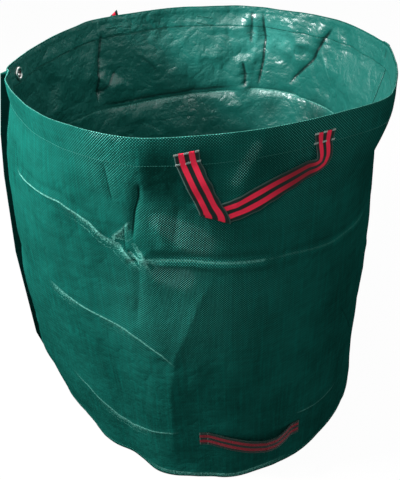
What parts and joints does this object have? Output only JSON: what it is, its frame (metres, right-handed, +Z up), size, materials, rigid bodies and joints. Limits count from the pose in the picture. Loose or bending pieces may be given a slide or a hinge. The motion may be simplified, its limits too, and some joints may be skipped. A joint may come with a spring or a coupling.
{
  "type": "garden waste bag",
  "caption": "Self-standing round bag of woven plastic cloth with a springy rim, webbing handles near the rim and the base, and a hanging eyelet.",
  "frame": {"origin": "middle of the base, on the ground", "axes": "+Z up, the front with its pair of handles faces -Y, +X to the right seen from the front"},
  "size_m": [0.7373, 0.682, 0.7713],
  "materials": {
    "woven_cloth": "laminated woven polypropylene, glossy",
    "webbing": "striped woven polypropylene webbing, red with dark edges and middle",
    "thread": "polyester sewing thread",
    "eyelet_metal": "bright pressed steel",
    "hoop_plastic": "flat springy plastic strip"
  },
  "bodies": {
    "bag": {"back_panel": "woven_cloth", "base_panel": "woven_cloth", "base_thread_back_inner": "thread", "base_thread_back_outer": "thread", "base_thread_front_inner": "thread", "base_thread_front_outer": "thread", "eyelet": "eyelet_metal", "eyelet_washer": "eyelet_metal", "front_panel": "woven_cloth", "hem_thread_back_inner": "thread", "hem_thread_back_outer": "thread", "hem_thread_front_inner": "thread", "hem_thread_front_outer": "thread", "left_seam_thread_back_inner": "thread", "left_seam_thread_back_outer": "thread", "left_seam_thread_front_inner": "thread", "left_seam_thread_front_outer": "thread", "lower_back_stitches_left_inner": "thread", "lower_back_stitches_left_outer": "thread", "lower_back_stitches_right_inner": "thread", "lower_back_stitches_right_outer": "thread", "lower_back_tab_left": "webbing", "lower_back_tab_right": "webbing", "lower_front_stitches_left_inner": "thread", "lower_front_stitches_left_outer": "thread", "lower_front_stitches_right_inner": "thread", "lower_front_stitches_right_outer": "thread", "lower_front_tab_left": "webbing", "lower_front_tab_right": "webbing", "right_seam_thread_back_inner": "thread", "right_seam_thread_back_outer": "thread", "right_seam_thread_front_inner": "thread", "right_seam_thread_front_outer": "thread", "rim_hoop": "hoop_plastic", "top_back_stitches_left_inner": "thread", "top_back_stitches_left_outer": "thread", "top_back_stitches_right_inner": "thread", "top_back_stitches_right_outer": "thread", "top_back_tab_left": "webbing", "top_back_tab_right": "webbing", "top_front_stitches_left_inner": "thread", "top_front_stitches_left_outer": "thread", "top_front_stitches_right_inner": "thread", "top_front_stitches_right_outer": "thread", "top_front_tab_left": "webbing", "top_front_tab_right": "webbing"},
    "top_front_handle": {"top_front_strap": "webbing"},
    "top_back_handle": {"top_back_strap": "webbing"},
    "lower_front_handle": {"lower_front_strap": "webbing"},
    "lower_back_handle": {"lower_back_strap": "webbing"}
  },
  "joints": [
    {"name": "top_front_swing", "type": "hinge", "parent": "bag", "child": "top_front_handle", "pos_m": [0.07696, -0.30931, 0.7195], "axis": [-0.9687, -0.2482, 0], "range_deg": [0, 150]},
    {"name": "top_back_swing", "type": "hinge", "parent": "bag", "child": "top_back_handle", "pos_m": [-0.0911, 0.31611, 0.7195], "axis": [0.966, 0.2586, 0], "range_deg": [0, 150]},
    {"name": "lower_front_swing", "type": "hinge", "parent": "bag", "child": "lower_front_handle", "pos_m": [0.0743, -0.31692, 0.13], "axis": [-0.9571, -0.2266, 0.1807], "range_deg": [0, 75]},
    {"name": "lower_back_swing", "type": "hinge", "parent": "bag", "child": "lower_back_handle", "pos_m": [-0.08462, 0.31146, 0.13], "axis": [0.9489, 0.2576, 0.1822], "range_deg": [0, 75]}
  ]
}
